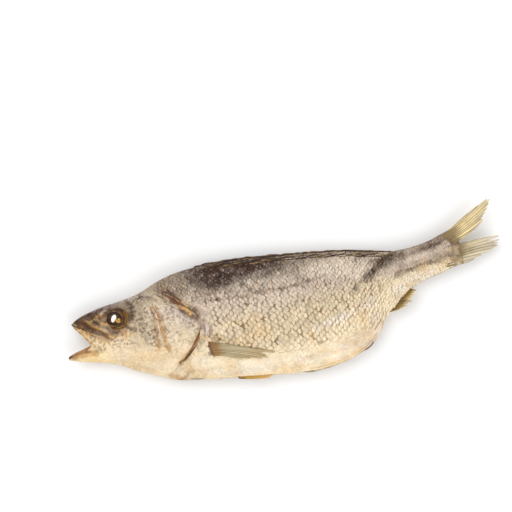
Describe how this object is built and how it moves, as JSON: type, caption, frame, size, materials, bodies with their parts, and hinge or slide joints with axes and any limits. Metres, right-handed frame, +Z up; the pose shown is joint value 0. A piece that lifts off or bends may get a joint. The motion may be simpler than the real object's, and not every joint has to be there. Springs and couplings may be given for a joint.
{
  "type": "dried salted fish",
  "caption": "Whole gutted pikeperch, salted and air-dried, lying on its right flank with an open mouth, a split tail fin and folded fins.",
  "frame": {"origin": "middle of the underside of the bounding box, on the surface that the right flank rests on", "axes": "+X from the jaws to the tail fin, +Y from the belly to the back, +Z up out of the left flank"},
  "size_m": [0.391, 0.1124, 0.0314],
  "materials": {
    "dried_skin": "satin, scaly, slightly oily"
  },
  "bodies": {
    "root": {"zander": "dried_skin"}
  },
  "joints": []
}
